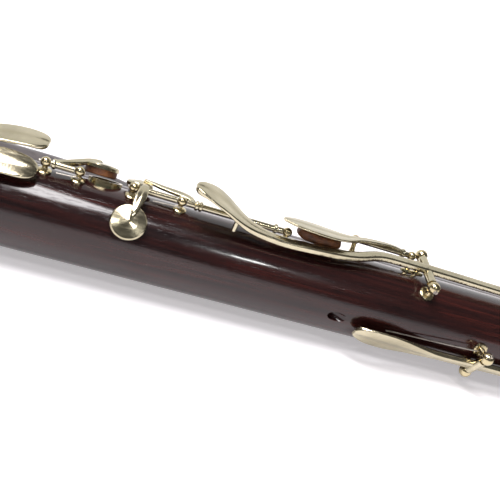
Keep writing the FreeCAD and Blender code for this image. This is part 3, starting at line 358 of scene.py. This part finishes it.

# %% [markdown]
# ## Leather, cork, cane and thread
# The pads are felt discs in thin brown leather, darker where they have been handled, with a fine
# pebbled grain whose creases are darkened with painted shade. The reed is cane, which has straight
# pale fibres. Its binding and the tenons are wound with thread, so their pattern is rings across the
# piece, made by a wave that runs along it.

# %% Make the leather
leather = finish_called("pad_leather")
patchy = noise(leather, (170.0, 170.0, 170.0), 4.0, 0.6)
leather_colour = colours(leather, patchy, [
    (0.30, (0.045, 0.014, 0.005)),
    (0.50, (0.135, 0.046, 0.014)),
    (0.68, (0.240, 0.090, 0.026)),
])
grain = specks(leather, (2600.0, 2600.0, 2600.0))
# Painted shade: the colour is darkened towards the edges of the grain's cells, in the creases between the
# pebbles.
painted_crease_shade = between(leather, grain.outputs["Distance"], 0.55, 0.95, 0.0, 0.5)
leather_colour = blended(leather, painted_crease_shade, leather_colour, (0.040, 0.015, 0.008))
link(leather, leather_colour, shader_of(leather).inputs["Base Color"])
pebbles = bumps(leather, grain.outputs["Distance"], 0.35, 0.00012)
folds = bumps(leather, noise(leather, (300.0, 900.0, 900.0), 3.0), 0.35, 0.0004, pebbles)
link(leather, folds, shader_of(leather).inputs["Normal"])
link(leather, between(leather, patchy, 0.3, 0.7, 0.42, 0.66), shader_of(leather).inputs["Roughness"])
print("leather", len(leather.node_tree.nodes), "nodes")

# %% Make cork, cane and thread
cork = finish_called("cork")
cork_grain = specks(cork, (900.0, 900.0, 900.0))
cork_tone = colours(cork, noise(cork, (500.0, 500.0, 500.0), 4.0), [
    (0.32, (0.16, 0.075, 0.030)), (0.5, (0.42, 0.25, 0.12)), (0.7, (0.56, 0.37, 0.20))])
link(cork, cork_tone, shader_of(cork).inputs["Base Color"])
link(cork, bumps(cork, cork_grain.outputs["Distance"], 0.3, 0.0002), shader_of(cork).inputs["Normal"])
shader_of(cork).inputs["Roughness"].default_value = 0.8

reed_turn = (0, 0, -math.radians(126.0))
cane = finish_called("cane")
fibre = noise(cane, (60.0, 2600.0, 2600.0), 3.0, 0.6, 0.0, reed_turn)
cane_tone = colours(cane, fibre, [
    (0.3, (0.36, 0.20, 0.065)), (0.5, (0.62, 0.41, 0.17)), (0.72, (0.76, 0.56, 0.29))])
link(cane, cane_tone, shader_of(cane).inputs["Base Color"])
link(cane, bumps(cane, fibre, 0.3, 0.0001), shader_of(cane).inputs["Normal"])
link(cane, between(cane, fibre, 0.3, 0.7, 0.36, 0.6), shader_of(cane).inputs["Roughness"])


def thread_called(name, dark, light, turn):
    material = finish_called(name)
    rings = add(material, "ShaderNodeTexWave")
    rings.inputs["Scale"].default_value = 1.0
    rings.inputs["Distortion"].default_value = 0.6
    link(material, placed_pattern(material, (330.0, 330.0, 330.0), turn), rings.inputs["Vector"])
    tone = colours(material, rings.outputs["Fac"], [(0.1, dark), (0.7, light)])
    link(material, tone, shader_of(material).inputs["Base Color"])
    link(material, bumps(material, rings.outputs["Fac"], 0.8, 0.00025), shader_of(material).inputs["Normal"])
    shader_of(material).inputs["Roughness"].default_value = 0.62
    return material


lap_thread = thread_called("lap_thread", (0.05, 0.008, 0.006), (0.30, 0.04, 0.03), (0, 0, 0))
binding_thread = thread_called("binding_thread", (0.045, 0.004, 0.006), (0.27, 0.022, 0.03), reed_turn)
print("soft finishes", cork.name, cane.name, lap_thread.name, binding_thread.name)

# %% The table top
table_paint = finish_called("table_white")
cloudy = noise(table_paint, (3.0, 3.0, 3.0), 3.0)
paint = colours(table_paint, cloudy, [(0.3, (0.80, 0.785, 0.80)), (0.7, (0.86, 0.85, 0.87))])
link(table_paint, paint, shader_of(table_paint).inputs["Base Color"])
shader_of(table_paint).inputs["Roughness"].default_value = 0.45
shader_of(table_paint).inputs["Emission Color"].default_value = (1.0, 0.97, 0.99, 1)
shader_of(table_paint).inputs["Emission Strength"].default_value = 0.42
table.data.materials.append(table_paint)
backdrop_paint = finish_called("backdrop_white")
shader_of(backdrop_paint).inputs["Base Color"].default_value = (0.9, 0.9, 0.9, 1)
shader_of(backdrop_paint).inputs["Emission Color"].default_value = (1, 1, 1, 1)
shader_of(backdrop_paint).inputs["Emission Strength"].default_value = 0.8
backdrop.data.materials.append(backdrop_paint)
print("table painted")

# %% [markdown]
# ## Giving the fixed parts their finish
# The parts that already have the right shape keep it. Only the material in their slots changes. Each
# node's slot name in the record says what it is made of, and the posts get the brassier metal.

# %% Finish every fixed part
finish_for = {
    "rosewood": rosewood,
    "nickel_silver": nickel,
    "brass": brass,
    "spring_steel": steel,
    "pad_leather": leather,
    "cork": cork,
    "lap_thread": lap_thread,
    "cane": cane,
    "binding_thread": binding_thread,
}
slot_for = {entry["node"]: entry["material_slot"] for entry in frame["record"]["subparts"]}


def give_finish(thing, material):
    if not thing.material_slots:
        thing.data.materials.append(material)
    for held in thing.material_slots:
        held.material = material


for name, thing in nodes.items():
    give_finish(thing, finish_for[slot_for[name]])
for name in ("long_joint_posts", "boot_posts", "wing_posts", "tone_hole_chimney", "sling_ring"):
    give_finish(nodes[name], post_metal)
print("finished", len(nodes), "parts")

# %% [markdown]
# ## Where a pad sits
# A pad is a disc, so its thin direction is the way its key presses. The corners of its fixed solid
# give that direction by a singular value decomposition: the last axis is the one they spread least
# along. The same axis gives the tone hole below the pad.

# %% Measure a disc
def disc_of(name):
    corners = np.array([vertex.co[:] for vertex in nodes[name].data.vertices])
    middle = (corners.max(axis=0) + corners.min(axis=0)) / 2
    axis = Vector(np.linalg.svd(corners - middle, full_matrices=False)[2][2])
    spine_z = axis_z if "wing" not in name else middle[2]
    away = Vector((0, middle[1] - axis_y, middle[2] - spine_z))
    if axis.dot(away) < 0:
        axis = -axis
    along = (corners - middle) @ np.array(axis)
    middle = Vector(middle) + axis * float((along.max() + along.min()) / 2)
    offsets = (corners - np.array(middle)) @ np.array(axis)
    across = np.linalg.norm((corners - np.array(middle)) - np.outer(offsets, np.array(axis)), axis=1)
    return middle, axis, float(across.max()), float(along.max() - along.min())


for name in ("open_key_pad", "round_side_key_pad"):
    print(name, [round(v * 1000, 1) for v in (*disc_of(name)[0], *disc_of(name)[2:])])

# %% [markdown]
# ## The bass joint
# The bass joint is turned between centres: a long tube with a tenon at each end. Its outline is drawn
# once as a line of points from the foot to the head and back through the bore, and the line is spun
# about the joint's axis, as the lathe does. Many short steps along the outside keep the faces small, so
# that the tone holes cut later don't disturb the polish around them.

# %% Draw the outline and spin it
def row_of(start, end, step):
    count = max(1, round((end - start) / step))
    return [start + (end - start) * k / count for k in range(count + 1)]


foot_tenon = 0.042
head_tenon = 0.034
foot_tenon_radius = 0.0146
head_tenon_radius = 0.0154
foot_bore = 0.0110
head_bore = 0.0130
foot_end = joint_low.x
shoulder = joint_low.x + foot_tenon
head_shoulder = joint_high.x - head_tenon
head_end = joint_high.x
ease = 0.0004
outline = [(foot_end, foot_bore), (foot_end, foot_tenon_radius - ease), (foot_end + ease, foot_tenon_radius)]
outline += [(shoulder, foot_tenon_radius), (shoulder, joint_radius - ease)]
outline += [(x, joint_radius) for x in row_of(shoulder + ease, head_shoulder - ease, 0.004)]
outline += [(head_shoulder, joint_radius - ease), (head_shoulder, head_tenon_radius)]
outline += [(head_end - ease, head_tenon_radius), (head_end, head_tenon_radius - ease), (head_end, head_bore)]
bore_slope = (head_bore - foot_bore) / (head_end - foot_end)
bore_points = row_of(head_end, foot_end, -0.02)
outline += [(x, foot_bore + bore_slope * (x - foot_end)) for x in bore_points[1:-1]]

drawing = bpy.data.meshes.new("bass_joint")
corners = [(x, axis_y, axis_z + radius) for x, radius in outline]
edges = [(k, (k + 1) % len(corners)) for k in range(len(corners))]
drawing.from_pydata(corners, edges, [])
tube = bpy.data.objects.new("bass_joint", drawing)
bpy.context.scene.collection.objects.link(tube)
select_only(tube)
bpy.ops.object.mode_set(mode="EDIT")
bpy.ops.mesh.select_all(action="SELECT")
bpy.ops.mesh.spin(steps=128, angle=2 * math.pi, center=(0, axis_y, axis_z), axis=(1, 0, 0))
bpy.ops.mesh.select_all(action="SELECT")
bpy.ops.mesh.remove_doubles(threshold=0.00001)
bpy.ops.mesh.normals_make_consistent(inside=False)
bpy.ops.object.mode_set(mode="OBJECT")
print("turned tube", len(tube.data.polygons), "faces")

# %% Bore the tone holes
def drill(name, start, direction, radius, depth):
    bpy.ops.object.select_all(action="DESELECT")
    bpy.ops.mesh.primitive_cylinder_add(vertices=48, radius=radius, depth=depth, location=start)
    bit = bpy.context.object
    bit.name = name
    bit.rotation_mode = "QUATERNION"
    bit.rotation_quaternion = Vector(direction).to_track_quat("Z", "Y")
    bpy.ops.object.transform_apply(location=True, rotation=True, scale=True)
    return bit


tone_hole_radius = 0.0044
bits = []
for name in sorted(nodes):
    if name.endswith("_pad") and name != "flat_touch_key_pad":
        middle, axis = disc_of(name)[:2]
        from_axis = Vector((0, middle.y - axis_y, middle.z - axis_z)).length
        over_joint = abs(from_axis - joint_radius) < 0.006 and joint_low.x < middle.x < joint_high.x
        if over_joint and not body_of[name].startswith(("wing", "boot")):
            bits.append(drill("bit_" + name, middle - axis * 0.010, axis, tone_hole_radius, 0.020))
thumb_angle = math.radians(-13.0)
thumb_out = Vector((0, -math.cos(thumb_angle), math.sin(thumb_angle)))
thumb_run = (Vector((1, 0, 0)) + thumb_out * 0.62).normalized()
thumb_mouth = Vector((shoulder + 0.264, axis_y, axis_z)) + thumb_out * joint_radius
bits.append(drill("bit_thumb", thumb_mouth - thumb_run * 0.001, thumb_run, 0.0025, 0.026))
touch_middle = Vector((shoulder + 0.245, axis_y, axis_z))
bits.append(drill("bit_touch", touch_middle + Vector((0, 0, 0.015)), (0, 0, 1), tone_hole_radius, 0.012))
for bit in bits:
    select_only(tube)
    cut = tube.modifiers.new("hole", "BOOLEAN")
    cut.object = bit
    cut.operation = "DIFFERENCE"
    cut.solver = "EXACT"
    bpy.ops.object.modifier_apply(modifier=cut.name)
    bpy.data.objects.remove(bit)
select_only(tube)
bpy.ops.object.shade_smooth_by_angle(angle=math.radians(35))
tube.data.materials.append(rosewood)
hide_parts("long_joint")
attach(tube, body_of["long_joint"])
print("bored", len(bits), "holes,", len(tube.data.polygons), "faces")

# %% [markdown]
# ## Key pads
# A pad is a felt disc wrapped in leather and glued in its cup. It is modelled from a short cylinder:
# its free face is inset twice, the middle is raised a little where the felt is full, and the ring that
# bears on the tone hole is pressed in. The rim is then rounded, because leather can't fold sharply.

# %% Model one pad
def faces_where(piece, test):
    bpy.ops.object.mode_set(mode="OBJECT")
    for face in piece.data.polygons:
        face.select = bool(test(face))
    for line in piece.data.edges:
        line.select = False
    for corner in piece.data.vertices:
        corner.select = False
    for face in piece.data.polygons:
        if face.select:
            for index in face.vertices:
                piece.data.vertices[index].select = True
    bpy.ops.object.mode_set(mode="EDIT")
    bpy.ops.mesh.select_mode(type="FACE")


def leather_pad(name, radius, height):
    bpy.ops.object.select_all(action="DESELECT")
    bpy.ops.mesh.primitive_cylinder_add(vertices=64, radius=radius - 0.0001, depth=height, location=(0, 0, 0))
    piece = bpy.context.object
    piece.name = name
    free = -height / 2
    faces_where(piece, lambda face: face.center.z < free + 0.00001)
    bpy.ops.mesh.bevel(offset=min(0.0007, height * 0.25), segments=4, affect="EDGES")
    faces_where(piece, lambda face: face.center.z < free + 0.00001)
    bpy.ops.mesh.inset(thickness=radius * 0.20)
    bpy.ops.mesh.inset(thickness=radius * 0.10, depth=-0.00012)
    bpy.ops.mesh.inset(thickness=radius * 0.10, depth=0.00012)
    bpy.ops.mesh.inset(thickness=radius * 0.20)
    bpy.ops.object.mode_set(mode="OBJECT")
    return piece


def seat_pad(name):
    middle, axis, radius, height = disc_of(name)
    piece = leather_pad("leather_" + name, radius, height)
    piece.rotation_mode = "QUATERNION"
    piece.rotation_quaternion = axis.to_track_quat("Z", "Y")
    piece.location = middle
    select_only(piece)
    bpy.ops.object.transform_apply(location=True, rotation=True, scale=True)
    bpy.ops.object.shade_smooth_by_angle(angle=math.radians(50))
    piece.data.materials.append(leather)
    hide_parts(name)
    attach(piece, body_of[name])
    return piece


disc_pads = [name for name in sorted(nodes) if name.endswith("_pad") and name != "flat_touch_key_pad"]
made_pads = [seat_pad(name) for name in disc_pads]
print("pads", len(made_pads), "faces each", len(made_pads[0].data.polygons))

# %% [markdown]
# ## The stuffed pad of the flat key
# This pad is a small cushion, much thicker than the others, with soft sides that bulge between the
# plate and the wood. A copy of its fixed solid is rebuilt as an even skin, relaxed until its edges are
# round, and then wrinkled a little, because old leather creases where it is squeezed.

# %% Model the stuffed pad
source = nodes["flat_touch_key_pad"]
skin = source.data.copy()
cushion = bpy.data.objects.new("stuffed_pad", skin)
bpy.context.scene.collection.objects.link(cushion)
select_only(cushion)
bpy.ops.object.mode_set(mode="EDIT")
bpy.ops.mesh.select_all(action="SELECT")
bpy.ops.mesh.remove_doubles(threshold=0.000005)
bpy.ops.object.mode_set(mode="OBJECT")
even = cushion.modifiers.new("even", "REMESH")
even.mode = "VOXEL"
even.voxel_size = 0.0004
bpy.ops.object.modifier_apply(modifier=even.name)
relax = cushion.modifiers.new("relax", "SMOOTH")
relax.factor = 0.6
relax.iterations = 14
bpy.ops.object.modifier_apply(modifier=relax.name)
wrinkle = bpy.data.textures.new("wrinkle", "CLOUDS")
wrinkle.noise_scale = 0.0035
crumple = cushion.modifiers.new("crumple", "DISPLACE")
crumple.texture = wrinkle
crumple.texture_coords = "LOCAL"
crumple.strength = 0.0006
crumple.mid_level = 0.62
bpy.ops.object.modifier_apply(modifier=crumple.name)
bpy.ops.object.shade_smooth()
cushion.data.materials.clear()
cushion.data.materials.append(leather)
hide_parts("flat_touch_key_pad")
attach(cushion, body_of["flat_touch_key_pad"])
print("stuffed pad", len(cushion.data.polygons), "faces")
